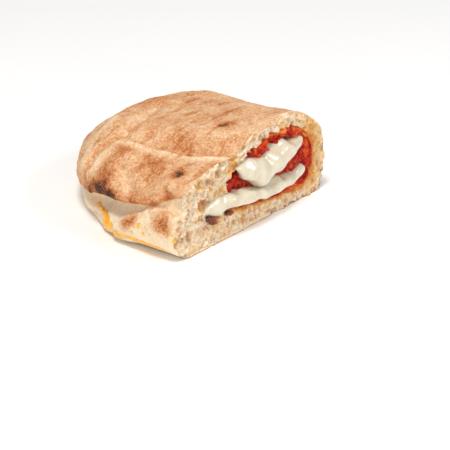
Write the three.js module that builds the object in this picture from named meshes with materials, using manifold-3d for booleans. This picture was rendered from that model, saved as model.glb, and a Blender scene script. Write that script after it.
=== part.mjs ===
// Half of a baked calzone: a half-moon of folded dough, cut across its middle and lying on its flat base.
// Millimetres, +Z up. The cut looks along -Y, the sealed rim is on -X and round the tip, the fold is on +X.
// While it is shaped, x runs from the sealed rim to the fold and y from the cut to the tip.
import * as THREE from "three";
import { ImprovedNoise } from "three/addons/math/ImprovedNoise.js";
import { mergeVertices } from "three/addons/utils/BufferGeometryUtils.js";
import Module from "manifold-3d";

const { lerp, smoothstep } = THREE.MathUtils;

// The whole half
const WIDTH = 138; // sealed rim to fold
const LENGTH = 121; // cut to tip
const HEIGHT = 59; // board to the top of the dome, at the cut
const TIP_FALL = 13; // how much lower the dome is near the tip
const RIM_ROUNDNESS = 2.6; // the exponent of the rim's curve in plan; 2 is an ellipse
const TIP_CORNER = 40; // plan radius where the fold turns into the tip
const TIP_X = WIDTH - TIP_CORNER;
const OVERRUN = 14; // how far solids run past the cut before they are trimmed to it
const GAP = 0.3; // between pieces that touch

// The top crust
const FOLD_EDGE_Z = 21; // height at which the fold is widest
const CREASE_DEPTH = 8.5; // the crease that parts the rim's roll from the dome
const CREASE_ROLL_SIDE = 26; // how far the crease spreads over the roll
const CREASE_DOME_SIDE = 11; // and up the dome
const CREASE = [
  [-OVERRUN, 55],
  [3, 51],
  [12, 46.5],
  [30, 42.5],
  [54, 41],
  [74, 38.5],
  [90, 33],
]; // the crease's line, as y and x
const SLIT = [
  [14, 84],
  [27, 80.5],
  [39, 74.5],
  [54, 77],
  [70, 82],
  [89, 87.5],
  [106, 92],
]; // the narrow fold that crosses the top, as x and y
const SLIT_DEPTH = 4.5;
const SLIT_WIDTH = 3.4;

// The sealed rim
const LIP = [
  [-OVERRUN, 33],
  [14, 32.5],
  [24, 28.5],
  [36, 25],
  [48, 23.8],
  [58, 23.6],
  [69, 20.5],
  [80, 16.5],
  [98, 14.5],
  [130, 14],
  [230, 14],
]; // the top crust's edge over the bottom crust's, as distance along the rim and height
const FOOT_AT_CUT = 14; // how far in from the rim the base starts
const FOOT_AT_TIP = 6;
const LOWER_TUCK = 4; // how far the lower edge lies in from the upper one, round the tip
const UNDERCUT = 7.5; // how far the rim goes in under the lip
const ROLL_DEPTH = 20; // how far in the rim turns into the top
const BLISTERS = [
  { along: 17, width: 11, out: 3.2 },
  { along: 46, width: 11, out: 2.6 },
  { along: 88, width: 14, out: 1.4 },
  { along: 121, width: 12, out: 2.2 },
  { along: 150, width: 11, out: 1.6 },
]; // swellings of the lower edge, by their place along the rim
const CRIMP_PITCH = 23; // pinches of the seal round the tip
const CRIMP_DEPTH = 1.3;

// The pocket that holds the filling
const POCKET_FROM = 46;
const POCKET_TO = 125.5;
const POCKET_DEPTH = 96; // from the cut
const FLOOR_AT_RIM = 14; // thickness of the bottom crust
const FLOOR_AT_FOLD = 7;
const CEILING = [
  [44, 40],
  [56, 44],
  [68, 46],
  [80, 53],
  [92, 50],
  [102, 52],
  [114, 47],
  [127, 38],
]; // underside of the top crust at the cut, as x and z
const VOID_HEIGHT = 3.4; // the hollow over the filling, beside the roll

// Melted mozzarella, two slabs
const UPPER_SLAB = {
  name: "mozzarella_upper",
  from: 54.5,
  to: 119.5,
  front: -5.5,
  back: 85,
  middle: [37.6, 36.2, 33.8, 33.2, 34.4, 37, 38.8, 38.4, 38.2],
  half: [4.2, 5.6, 7.9, 5.6, 5.8, 7.8, 5, 4, 3.8],
  droop: 2.4,
};
const LOWER_SLAB = {
  name: "mozzarella_lower",
  from: 26.5,
  to: 122,
  front: -5,
  back: 90,
  middle: [21, 21.8, 23.2, 22.8, 22.2, 21, 19.6, 19.8, 18.2, 17.4, 18.4],
  half: [5.2, 5.8, 4.4, 3.2, 3, 3.9, 4.7, 3.7, 3.7, 4.1, 3.8],
  droop: 1.6,
};

// Bubbles that show in the cut: x, z, width and height
const NAMED_BUBBLES = [
  [28, 39, 8.5, 6.5],
  [26, 27, 5.5, 8],
  [12.5, 11, 3.4, 7],
  [66, 4.4, 5, 4.2],
  [67, 51.5, 4.4, 3.6],
  [38, 41, 4.6, 3.6],
  [58, 48, 4.4, 3],
  [92, 4, 4.4, 3],
];
const SCATTERED_BUBBLES = 18;

// Mesh steps
const BODY_STATIONS = 36;
const BODY_ACROSS = 22;
const SIDE_STEPS = 16;
const BASE_STEPS = 5;

const noise = new ImprovedNoise();
const wasm = await Module();
wasm.setup();

// A smooth function through (input, value) pairs whose inputs rise
function through(pairs) {
  const curve = new THREE.SplineCurve(pairs.map(([a, b]) => new THREE.Vector2(a, b)));
  const table = curve.getPoints(pairs.length * 12);
  return (at) => {
    if (at <= table[0].x) return table[0].y;
    const next = table.findIndex((point) => point.x > at);
    if (next < 0) return table.at(-1).y;
    const [a, b] = [table[next - 1], table[next]];
    return lerp(a.y, b.y, (at - a.x) / (b.x - a.x));
  };
}

// The same, for values spread evenly from one end to the other
function spread(from, to, values) {
  return through(values.map((value, i) => [lerp(from, to, i / (values.length - 1)), value]));
}

function bump(distance, width) {
  return Math.exp(-((distance / width) ** 2));
}

function smoothMin(a, b, reach) {
  const share = Math.max(reach - Math.abs(a - b), 0) / reach;
  return Math.min(a, b) - (share * share * reach) / 4;
}

// A closed solid from a geometry: welded, without faces that collapsed, facing out
function solidOf(geometry) {
  const bare = geometry.clone();
  bare.deleteAttribute("normal");
  bare.deleteAttribute("uv");
  const welded = mergeVertices(bare, 1e-3);
  const corners = Array.from(welded.index.array);
  const faces = [];
  for (let i = 0; i < corners.length; i += 3) {
    const [a, b, c] = corners.slice(i, i + 3);
    if (a !== b && b !== c && a !== c) faces.push([a, b, c]);
  }
  const make = (triangles) =>
    new wasm.Manifold(
      new wasm.Mesh({
        numProp: 3,
        vertProperties: welded.attributes.position.array,
        triVerts: new Uint32Array(triangles.flat()),
      }),
    );
  const solid = make(faces);
  return solid.volume() < 0 ? make(faces.map(([a, b, c]) => [a, c, b])) : solid;
}

function geometryOf(solid) {
  const { vertProperties, triVerts } = solid.getMesh();
  const geometry = new THREE.BufferGeometry()
    .setAttribute("position", new THREE.BufferAttribute(new Float32Array(vertProperties), 3))
    .setIndex(new THREE.BufferAttribute(new Uint32Array(triVerts), 1));
  geometry.computeVertexNormals();
  return geometry;
}

// A surface lofted through closed loops of the same count, with a fan at each end
function loft(loops) {
  const count = loops[0].length;
  const points = loops.flat();
  const faces = [];
  for (let j = 0; j + 1 < loops.length; j++)
    for (let i = 0; i < count; i++) {
      const [a, b] = [j * count + i, j * count + ((i + 1) % count)];
      faces.push(a, b, b + count, a, b + count, a + count);
    }
  [0, loops.length - 1].forEach((j) => {
    const hub = points.length;
    const sum = loops[j].reduce((total, point) => total.add(point), new THREE.Vector3());
    points.push(sum.divideScalar(count));
    for (let i = 0; i < count; i++) {
      const [a, b] = [j * count + i, j * count + ((i + 1) % count)];
      faces.push(...(j ? [a, b, hub] : [b, a, hub]));
    }
  });
  return new THREE.BufferGeometry().setFromPoints(points).setIndex(faces);
}

// Plan of the body: the rim's edge and the fold's edge, both from before the cut to the tip
const rimCurve = [];
for (let i = 1; i <= 24; i++) {
  const angle = (Math.PI / 2) * (i / 24);
  const power = 2 / RIM_ROUNDNESS;
  const x = TIP_X * (1 - Math.max(Math.cos(angle), 0) ** power);
  rimCurve.push(new THREE.Vector2(x, LENGTH * Math.sin(angle) ** power));
}
const rimPath = new THREE.Path().moveTo(0, -OVERRUN).lineTo(0, 0).splineThru(rimCurve);
const foldPath = new THREE.Path()
  .moveTo(WIDTH, -OVERRUN)
  .lineTo(WIDTH, LENGTH - TIP_CORNER)
  .absarc(TIP_X, LENGTH - TIP_CORNER, TIP_CORNER, 0, Math.PI / 2, false);
const rimLength = rimPath.getLength();

// A point of an edge, and the way in from it
function edgeAt(path, t, side) {
  const at = path.getPoint(t);
  const along = path.getTangent(t);
  return { at, inward: new THREE.Vector2(along.y * side, -along.x * side) };
}

const creaseX = through(CREASE);
const slitY = through(SLIT);
const lipHeight = through(LIP);

// Height of the top crust, clear of its edges
function crustTop(x, y) {
  const [toSide, toTip] = [Math.max(TIP_X - x, 0) / TIP_X, Math.max(y, 0) / LENGTH];
  const toRim = (toSide ** RIM_ROUNDNESS + toTip ** RIM_ROUNDNESS) ** (1 / RIM_ROUNDNESS);
  const toFold = Math.max(x - TIP_X, 0) / TIP_CORNER;
  const full = HEIGHT - TIP_FALL * lerp(0.6, 1, smoothstep(x, 30, 90)) * smoothstep(y, 0, 90);
  const fullness = smoothstep(y, 20, 85);
  const dome = full * (1 - Math.min(toRim, 0.995) ** lerp(4, 7, fullness)) ** lerp(0.4, 0.31, fullness);
  const shoulder = FOLD_EDGE_Z + (full - 0.5 - FOLD_EDGE_Z) * Math.sqrt(1 - Math.min(toFold, 1) ** 1.9);
  const pastCrease = x - creaseX(y);
  const rollSide = CREASE_ROLL_SIDE * lerp(1, 0.45, smoothstep(y, 20, 80));
  const spreadTo = pastCrease > 0 ? CREASE_DOME_SIDE : rollSide;
  const crease = CREASE_DEPTH * bump(pastCrease, spreadTo) * (1 - 0.75 * smoothstep(y, 30, 92));
  const slitShare = smoothstep(x, 14, 34) * (1 - smoothstep(x, 66, 106));
  const slit = SLIT_DEPTH * bump(y - slitY(x), SLIT_WIDTH) * slitShare;
  const swell = 1.3 * noise.noise(x / 24, y / 24, 0.4) + 0.5 * noise.noise(x / 9, y / 9, 2.7);
  return smoothMin(dome, shoulder, 6) - crease - slit + swell;
}

// The sealed edge from the base up to where it joins the top: how far in, and how high
function rimProfile(along) {
  const waver = noise.noise(along / 17, 3.1, 0.2);
  const lipZ = lipHeight(along) + 1.5 * waver;
  const opening = lerp(0.25, 1, smoothstep(along, 14, 52)) * (1 - 0.35 * smoothstep(along, 120, 175));
  const undercut = UNDERCUT * opening;
  const blister = BLISTERS.reduce((sum, b) => sum + b.out * bump(along - b.along, b.width), 0);
  const crimp = CRIMP_DEPTH * Math.sin((2 * Math.PI * along) / CRIMP_PITCH) * smoothstep(along, 112, 134);
  const lean = lerp(4.5, 0, smoothstep(along, 8, 60));
  const foot = lerp(FOOT_AT_CUT, FOOT_AT_TIP, smoothstep(along, 0, 60));
  const tip = smoothstep(along, 20, 100);
  const tuck = LOWER_TUCK * smoothstep(along, 55, 100);
  return [
    [tuck + foot, 0],
    [tuck + 0.45 * foot + 0.4 - 0.2 * blister, lipZ * 0.07],
    [tuck + 0.16 * foot + 0.2 - 0.4 * blister, lipZ * 0.22],
    [tuck + 0.5 - 0.7 * blister, lipZ * 0.4],
    [tuck + 1.6 - blister, lipZ * 0.57],
    [2.2 + 0.55 * undercut, lipZ * 0.72],
    [0.8 + undercut, lipZ * 0.84],
    [0.9 + lean + 0.45 * undercut, lipZ * 0.94],
    [0.6 + lean + crimp, lipZ + 1.4],
    [lerp(2.6, 1.2, tip) + lean + crimp, lipZ + lerp(6.5, 9, tip)],
    [lerp(8.2, 5, tip) + lean * 0.6, lipZ + lerp(9.4, 18.5, tip)],
  ];
}

const FOLD_PROFILE = [
  [7.5, 0],
  [4.2, 1.6],
  [2.6, 4.4],
  [1.6, 8],
  [0.7, 12],
  [0.1, 17],
  [0, 22],
  [0.4, 27],
  [1.4, 32],
  [3.6, 38],
  [7.6, 43.6],
];

// One edge's points from the base to the top, the last one on the top crust
function sidePoints(edge, profile) {
  const top = edge.inward.clone().multiplyScalar(ROLL_DEPTH).add(edge.at);
  const rows = [...profile, [ROLL_DEPTH, crustTop(top.x, top.y)]];
  const curve = new THREE.SplineCurve(rows.map(([depth, z]) => new THREE.Vector2(depth, z)));
  return curve.getPoints(SIDE_STEPS).map(({ x: depth, y: z }) => {
    const plan = edge.inward.clone().multiplyScalar(depth).add(edge.at);
    return new THREE.Vector3(plan.x, plan.y, Math.max(z, 0));
  });
}

// The whole dough as one lump, from before the cut to the tip
function bodySolid() {
  const loops = [];
  for (let j = 0; j <= BODY_STATIONS; j++) {
    const t = Math.min(j / BODY_STATIONS, 1);
    const along = t * rimLength - OVERRUN;
    const rim = rimProfile(along);
    const turned = smoothstep(t, 0.55, 0.97);
    const fold = FOLD_PROFILE.map((row, k) => row.map((value, n) => lerp(value, rim[k][n], turned)));
    const left = sidePoints(edgeAt(rimPath, t, 1), rim);
    const right = sidePoints(edgeAt(foldPath, t, -1), fold).reverse();
    const [a, b] = [left.at(-1), right[0]];
    const across = [];
    for (let i = 1; i < BODY_ACROSS; i++) {
      const share = i / BODY_ACROSS;
      const x = lerp(a.x, b.x, share);
      const y = lerp(a.y, b.y, share);
      across.push(new THREE.Vector3(x, y, crustTop(x, y)));
    }
    const base = [];
    for (let i = 1; i < BASE_STEPS; i++) base.push(right.at(-1).clone().lerp(left[0], i / BASE_STEPS));
    loops.push([...left, ...across, ...right, ...base]);
  }
  return solidOf(loft(loops));
}

// How far the rim's plan edge has come in at a distance from the cut
function rimX(y) {
  return TIP_X * (1 - (1 - Math.max(y / LENGTH, 0) ** RIM_ROUNDNESS) ** (1 / RIM_ROUNDNESS));
}

// A lump lofted along y. Its ends are rounded over the lengths given, and grow makes it larger all round.
function lump({ edges, middle, half, grow = 0, ...form }) {
  const { front, back, frontRound, backRound, stations, around } = form;
  const power = 2 / form.squareness;
  const loops = [];
  for (let j = 0; j <= stations; j++) {
    const y = lerp(front, back, (1 - Math.cos((Math.PI * j) / stations)) / 2);
    const fromFront = Math.min((y - front) / Math.max(frontRound, 1e-6), 1);
    const fromBack = Math.min((back - y) / backRound, 1);
    const open = frontRound ? Math.sqrt(1 - (1 - fromFront) ** 2) : 1;
    const share = Math.max(open * Math.sqrt(1 - (1 - fromBack) ** 2), 0.08);
    const [from, to] = edges(y);
    const loop = [];
    for (let i = 0; i < around; i++) {
      const angle = (2 * Math.PI * (i + 0.5)) / around;
      const [c, s] = [Math.cos(angle), Math.sin(angle)];
      const reach = Math.sign(c) * Math.abs(c) ** power * ((share * (to - from)) / 2 + grow);
      const x = (from + to) / 2 + reach;
      const z = middle(x, y) + Math.sign(s) * Math.abs(s) ** power * (share * half(x, y) + grow);
      loop.push(new THREE.Vector3(x, y + grow * (2 * (j / stations) - 1), z));
    }
    loops.push(loop);
  }
  return solidOf(loft(loops));
}

const ceilingAtCut = through(CEILING);

function pocketFloor(x) {
  return lerp(FLOOR_AT_RIM, FLOOR_AT_FOLD, smoothstep(x, POCKET_FROM, POCKET_TO));
}

function pocketCeiling(x, y) {
  return smoothMin(ceilingAtCut(x), crustTop(x, y) - 6.5, 4);
}

// Height of the pocket as a share of its height at the cut
function pocketShare(x, y) {
  const floor = pocketFloor(x);
  return (pocketCeiling(x, Math.max(y, 0)) - floor) / (pocketCeiling(x, 0) - floor);
}

// The pocket, or with an inset the filling in it, which leaves a hollow over its rim end
function pocketSolid(inset) {
  const emptied = inset ? VOID_HEIGHT : 0;
  const ceiling = (x, y) => pocketCeiling(x, y) - inset - emptied * (1 - smoothstep(x, 58, 76));
  const floor = (x) => pocketFloor(x) + inset;
  return lump({
    front: -OVERRUN,
    back: POCKET_DEPTH - inset,
    edges: (y) => [POCKET_FROM + inset + 0.75 * rimX(y), POCKET_TO - inset],
    middle: (x, y) => (ceiling(x, y) + floor(x)) / 2,
    half: (x, y) => (ceiling(x, y) - floor(x)) / 2,
    squareness: 4,
    frontRound: 0,
    backRound: 34,
    stations: 9,
    around: 30,
  });
}

function slabSolid({ from, to, front, back, middle, half, droop }, grow) {
  const middleAt = spread(from, to, middle);
  const halfAt = spread(from, to, half);
  const arm = (y) => Math.max(POCKET_FROM + 5 - from, 0) * smoothstep(y, 8, 42);
  const wave = (x, y) => 0.7 * noise.noise(x / 15, y / 15, 5.1) - droop * (1 - smoothstep(y, front, 7));
  return lump({
    front,
    back,
    edges: (y) => [from + arm(y) + 0.75 * rimX(y), to - 0.03 * Math.max(y, 0)],
    middle: (x, y) => lerp(pocketFloor(x), middleAt(x) + wave(x, y), pocketShare(x, y)),
    half: (x, y) => halfAt(x) * pocketShare(x, y) * (1 + 0.12 * noise.noise(x / 11, y / 13, 8.3)),
    squareness: 3.2,
    frontRound: 8,
    backRound: 22,
    stations: 12,
    around: 32,
    grow,
  });
}

// A block in front of the cut whose far side is a relief, to trim what runs past it
function reliefBlock(reliefAt, step) {
  const [columns, rows] = [Math.round((WIDTH + 30) / step), Math.round((HEIGHT + 24) / step)];
  const block = new THREE.BoxGeometry(WIDTH + 30, 2 * OVERRUN, HEIGHT + 24, columns, 1, rows);
  block.translate(WIDTH / 2, -OVERRUN, HEIGHT / 2);
  const at = block.attributes.position;
  for (let i = 0; i < at.count; i++) {
    const [x, z] = [at.getX(i), at.getZ(i)];
    if (at.getY(i) < -1) continue;
    const [aside, up] = [noise.noise(x / 2.1, z / 2.1, 3.7), noise.noise(x / 2.1, z / 2.1, 7.9)];
    at.setXYZ(i, x + 0.6 * step * aside, reliefAt(x, z), z + 0.6 * step * up);
  }
  return solidOf(block);
}

// How far the torn crumb lies behind the cut
function crumbRelief(x, z) {
  return 0.9 + 1.3 * noise.noise(x / 6, z / 6, 1.3) + 0.7 * noise.noise(x / 2.6, z / 2.6, 4.9);
}

// The cut through the filling: lumps of crushed tomato, set a little behind the crumb
function tomatoRelief(x, z) {
  return 2.6 + 2.4 * noise.noise(x / 5.5, z / 4, 9.2) + 0.8 * noise.noise(x / 2.4, z / 2.4, 6.6);
}

function bubbleSolid([x, z, across, height], depth) {
  const bubble = new THREE.IcosahedronGeometry(1, 1);
  bubble.scale(across / 2, depth, height / 2).rotateY(0.4 * noise.noise(x, z, 0.5));
  return solidOf(bubble.translate(x, 0.6, z));
}

// Seeded bubbles in the crumb, clear of the crust and of the pocket
function scatteredBubbles() {
  const bubbles = [];
  const draw = THREE.MathUtils.seededRandom;
  draw(7);
  while (bubbles.length < SCATTERED_BUBBLES) {
    const [x, z] = [lerp(6, WIDTH - 6, draw()), lerp(3.5, HEIGHT - 3.5, draw())];
    const [across, height] = [lerp(1.8, 4.2, draw()), lerp(1.8, 3.6, draw())];
    const inPocket =
      x > POCKET_FROM - 3 && x < POCKET_TO + 2.5 && z > pocketFloor(x) - 2.5 && z < ceilingAtCut(x) + 2.5;
    const inCrust = z > crustTop(x, 0) - 4 || (x < 22 && z > 6 + 1.4 * x);
    const onSlab = x > LOWER_SLAB.from - 3 && x < POCKET_FROM && z > 12 && z < 26;
    const crowded = bubbles.some(([u, w, size]) => Math.hypot(u - x, w - z) < (size + across) / 2 + 0.9);
    if (!inPocket && !inCrust && !onSlab && !crowded) bubbles.push([x, z, across, height]);
  }
  return bubbles;
}

function doughSolid() {
  const holes = [...NAMED_BUBBLES, ...scatteredBubbles()];
  const uncut = bodySolid()
    .subtract(pocketSolid(0))
    .subtract(slabSolid(LOWER_SLAB, GAP))
    .subtract(reliefBlock(crumbRelief, 3.3));
  const deep = (hole) => 0.7 * Math.max(hole[2], hole[3]);
  return holes.reduce((dough, hole) => dough.subtract(bubbleSolid(hole, deep(hole))), uncut);
}

function sauceSolid() {
  return pocketSolid(2 * GAP)
    .subtract(slabSolid(UPPER_SLAB, GAP))
    .subtract(slabSolid(LOWER_SLAB, GAP))
    .subtract(reliefBlock(tomatoRelief, 4));
}

function pieceOf(name, solid, material) {
  const mesh = new THREE.Mesh(geometryOf(solid), material);
  mesh.name = name;
  return mesh;
}

const crust = new THREE.MeshStandardMaterial({ color: 0xdba877, roughness: 0.85, metalness: 0 });
const tomato = new THREE.MeshStandardMaterial({ color: 0xb5361c, roughness: 0.35, metalness: 0 });
const cheese = new THREE.MeshStandardMaterial({ color: 0xf0e6cf, roughness: 0.25, metalness: 0 });

const calzone = new THREE.Group();
calzone.add(
  pieceOf("dough", doughSolid(), crust),
  pieceOf("tomato_sauce", sauceSolid(), tomato),
  pieceOf(UPPER_SLAB.name, slabSolid(UPPER_SLAB, 0).subtract(slabSolid(LOWER_SLAB, GAP)), cheese),
  pieceOf(LOWER_SLAB.name, slabSolid(LOWER_SLAB, 0), cheese),
);

// The origin is under the middle of the whole, on the board
const bounds = new THREE.Box3().setFromObject(calzone);
const middle = bounds.getCenter(new THREE.Vector3());
calzone.position.set(-middle.x, -middle.y, -bounds.min.z);

export default calzone;
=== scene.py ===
# Half of a baked calzone, cut across its middle: browned crust, open crumb, tomato sauce and melted
# mozzarella. Metres, +Z up. The cut faces -Y, the sealed rim is on -X and round the tip, the fold on +X.
# Places, lengths and mesh steps on the food are given in millimetres.
import math
import random

import bpy
import numpy as np
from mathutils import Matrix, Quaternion, Vector, noise
from mathutils.bvhtree import BVHTree


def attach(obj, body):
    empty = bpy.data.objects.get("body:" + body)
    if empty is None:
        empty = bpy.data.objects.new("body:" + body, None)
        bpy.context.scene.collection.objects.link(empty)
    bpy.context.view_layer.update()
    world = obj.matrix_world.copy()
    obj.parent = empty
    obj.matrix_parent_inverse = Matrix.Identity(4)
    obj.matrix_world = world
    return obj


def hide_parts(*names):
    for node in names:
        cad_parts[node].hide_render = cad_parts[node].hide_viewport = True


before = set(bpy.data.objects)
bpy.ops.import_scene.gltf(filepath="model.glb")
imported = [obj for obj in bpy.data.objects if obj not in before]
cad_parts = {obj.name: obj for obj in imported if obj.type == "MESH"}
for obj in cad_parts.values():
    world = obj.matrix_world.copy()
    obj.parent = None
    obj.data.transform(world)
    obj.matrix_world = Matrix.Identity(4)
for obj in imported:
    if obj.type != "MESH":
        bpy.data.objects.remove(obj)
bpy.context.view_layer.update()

MM = 0.001
CUT_Y = -58.1  # the plane of the cut
BEHIND_CUT = 4.6  # past the deepest dent of the torn crumb
UNSEEN = (9, 12)  # how far behind the cut the filling stops showing

# Mesh steps, and the share of faces kept where nothing shows
DOUGH_STEP = 0.85
SAUCE_STEP = 0.65
CHEESE_STEP = 0.8
DOUGH_KEPT = 0.62
SAUCE_KEPT = 0.3
CHEESE_KEPT = 0.35

# The camera
CAMERA_AZIMUTH = -51
CAMERA_ELEVATION = 23.5
CAMERA_DISTANCE = 1.4
CAMERA_ROLL = 1.2
CAMERA_LENS = 194.4
PIXEL = 0.000576  # metres to a pixel of the picture, at the object
AIM = (51.8, 70.2)  # pixels right of and below the object's middle at which the camera points
OBJECT_MIDDLE = Vector((0, 0, 0.028))

# The room's lights, as name, place, size, power and tint
LIGHTS = [
    ("key", (-0.4, -0.2, 1.15), 0.3, 8.4, (1, 0.98, 0.95)),
    ("fill", (-1.15, -0.55, 0.4), 1.0, 3.1, (1, 1, 1)),
    ("glint", (0.4, -0.85, 0.8), 0.35, 3.4, (1, 1, 1)),
]
WORLD_STRENGTH = 0.46

# Folds of the top crust
CREASE = [(-16, -60, 48), (-21, -51, 47), (-26, -40, 46), (-28, -24, 45), (-29, -8, 45), (-30, 3, 44),
          (-33, 10, 42)]
CREASE_END = [(-33, 10, 42), (-40, 13.5, 38), (-49, 20, 31)]
SLIT = [(-47, 24, 31), (-38, 23, 39), (-33.5, 19.5, 43), (-29, 16, 45), (-14, 19, 46), (2, 24, 46),
        (20, 29, 45)]
SLIT_DEEPEST = [(-33, 19, 43), (-27, 15.5, 45)]
LEFT_ROLL = [(-47, 30, 28), (-27, 33.5, 41), (-12, 34, 46)]
DIMPLE = [(-50, -3, 38.5), (-56, -11, 35.5), (-62, -20, 32)]
TUCK = [(-61, -42.5, 36.6), (-61, -47.5, 36.8)]  # where the roll's edge tucks in beside the cut
CREASE_DEPTH = 2.1
CREASE_ROLL = 1.2
SLIT_DEPTH = 1.9
SLIT_ROLL = 1.0
SLIT_PIT = 1.6
LEFT_ROLL_RISE = 1.0
DIMPLE_DEPTH = 3.4
WRINKLE_DEPTH = 0.5

# The sealed rim: heights along the cut side's edge, as y and z
LIP = [(-60, 37.5), (-50, 37), (-43, 33), (-37, 29), (-30, 26.6), (-22, 24.6), (-10, 23.4), (-2, 23),
       (6, 21.5), (12, 19.5), (20, 15.5), (30, 14)]
LOBE = [(-60, 27), (-53, 27.5), (-46, 29), (-36, 28), (-24, 20), (-15, 14.5), (-8, 10)]
LOBE_END_Y = -10
RIM_TURNS_X = -42  # the rim's side lies beyond this
CHAR = [(-57.5, 12, 27), (-60.5, 4, 26.5), (-62.3, -3, 25.4), (-62.3, -9, 24.6), (-61.5, -14, 25)]
BLISTERS = [(-67, -22, 16.5, 6.5), (-67.5, -46, 23, 7)]  # x, y, z and radius
LIP_SWELL = 1.3
RECESS_DEPTH = 3.2
RECESS_FOLDS = 0.7
LOBE_SWELL = 2.0
TUCK_DEPTH = 4.4
BLISTER_RISE = 1.6

# Where cheese and oil leaked out at the rim: place and half the film's width
LEAK = [
    ((-49.4, 14.4, 9.6), 1.2),
    ((-52, 10.7, 9.6), 1.5),
    ((-55.4, 6.7, 9.4), 2.2),
    ((-57.2, 4, 8.2), 3.2),
    ((-59.6, 0.6, 6.4), 3.9),
    ((-60.7, -0.8, 4.2), 3.9),
    ((-62.8, -6.8, 4.4), 3.3),
    ((-66, -13, 5.2), 2.4),
    ((-68, -20, 6), 1.5),
    ((-68.2, -24, 6.4), 1.5),
    ((-67.2, -29, 6.2), 2.4),
    ((-65.6, -34.5, 5.2), 2.2),
    ((-66.4, -43.5, 5.6), 1.3),
    ((-65.8, -52, 5), 0.8),
]
DROPS = [((-68.4, -30.8, 16.5), 1.6), ((-69.4, -35.4, 13.5), 1.1), ((-68.8, -26.2, 11.6), 0.7),
         ((-68.5, -55.2, 18), 0.9), ((-68.1, -55.4, 14.4), 1.4)]
FILM_RISE = 0.75
FILM_EDGE = 1.6
FILM_SHELL = 0.4

# The cut: bubbles torn open, as x, z, half width, half height, depth and how soaked they are
PITS = [
    (-46, 40.6, 5.2, 2.7, 4.0, 0.45),
    (-31.5, 43, 3.6, 3.0, 3.0, 0.15),
    (-45, 28.2, 4.0, 3.8, 3.6, 0.75),
    (-56.6, 13.8, 2.3, 3.2, 3.4, 0.1),
    (-64.5, 20.4, 1.6, 2.3, 2.0, 0.0),
    (-37, 34.5, 2.2, 1.8, 1.8, 0.3),
    (-56.5, 34, 1.8, 2.6, 1.8, 0.1),
    (-50, 20, 2.0, 1.7, 1.6, 0.3),
    (-26.5, 46.3, 1.8, 1.4, 1.8, 0.1),
    (-16, 46.8, 2.0, 1.5, 2.4, 0.3),
    (-8, 50.4, 2.3, 1.7, 2.8, 0.1),
    (2, 54.8, 1.6, 1.1, 1.6, 0.0),
    (-6.8, 5.1, 2.4, 2.0, 2.8, 0.35),
    (23.2, 5.4, 1.5, 0.8, 2.4, 0.6),
    (3.7, 5.9, 1.7, 1.4, 1.8, 0.0),
    (13, 3.6, 1.8, 1.2, 1.6, 0.1),
    (-27, 7.4, 1.5, 2.0, 1.6, 0.0),
    (-40, 8, 1.4, 1.8, 1.4, 0.0),
]

# The foam of bubbles between them
BUBBLE_SEED = 11
LARGE_BUBBLES = (420, 1.0, 2.2, 0.9)  # how many are tried, smallest, largest and how close they may come
SMALL_BUBBLES = (1100, 0.5, 0.9, 0.85)
BOWL_DEPTH = 1.25  # how deep a bubble is, in its radii
ROUNDING = 1.1  # how far in from its wall a bubble or lump levels off, in its radii
BASE_CRUST = 2.1  # the browned line along the foot of the cut
FOAM_SIZE = 1.5  # bubbles too fine for the mesh

# Sauce that soaked into the crumb: spots as x, z, reach and strength, and the line under the lower slab
SOAKED = [(-33, 13, 4, 0.5), (-52, 26, 4, 0.3), (-18, 42, 4, 0.85), (-28, 31, 5, 0.45), (-54, 14, 3, 0.25),
          (-36, 22, 4, 0.4), (56, 34, 6, 0.25), (54, 45, 6, 0.3), (55, 14, 5, 0.25), (26, 54, 5, 0.4)]
UNDER_SLAB = [(-22, 0, 16.6), (-14, 0, 16.4), (-6, 0, 15.6), (2, 0, 14), (11, 0, 12.2), (19, 0, 11.6),
              (27, 0, 11.4), (38, 0, 10), (47, 0, 9.8), (54, 0, 14)]

# Chunks of tomato in the cut, as x, z, radius and tone from dark red, 0, to orange, 1
CHUNKS = [
    (8.7, 47.6, 4.8, 0.5),
    (6.4, 52.6, 2.8, 0.7),
    (27, 51, 4.6, 0.9),
    (40, 45.6, 4.4, 0.78),
    (32.5, 30.2, 3.4, 0.6),
    (40.9, 28.1, 3.8, 0.45),
    (37.6, 33.7, 3.0, 0.3),
    (-19, 31.9, 4.2, 0.25),
    (-24, 30.6, 3.0, 0.12),
    (25.2, 26.3, 2.8, 0.8),
    (-14, 17.4, 3.2, 0.7),
    (12, 13, 3.2, 0.75),
    (34, 11.4, 3.2, 0.8),
    (51, 22, 3.2, 0.5),
]
HOLLOWS = [(17.5, 45.2, 3.0), (-14.5, 43.8, 2.2), (-7.4, 45.8, 1.8)]  # between chunks, as x, z and reach
SAUCE_SEED = 5
LARGE_LUMPS = (260, 1.8, 3.2, 0.75)  # as for the bubbles
SMALL_LUMPS = (700, 0.8, 1.3, 0.8)
LUMP_RISE = 0.66
HOLLOW_DEPTH = 5
SAUCE_SPREAD = 0.9  # how far the sauce is pressed out against the dough

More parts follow.
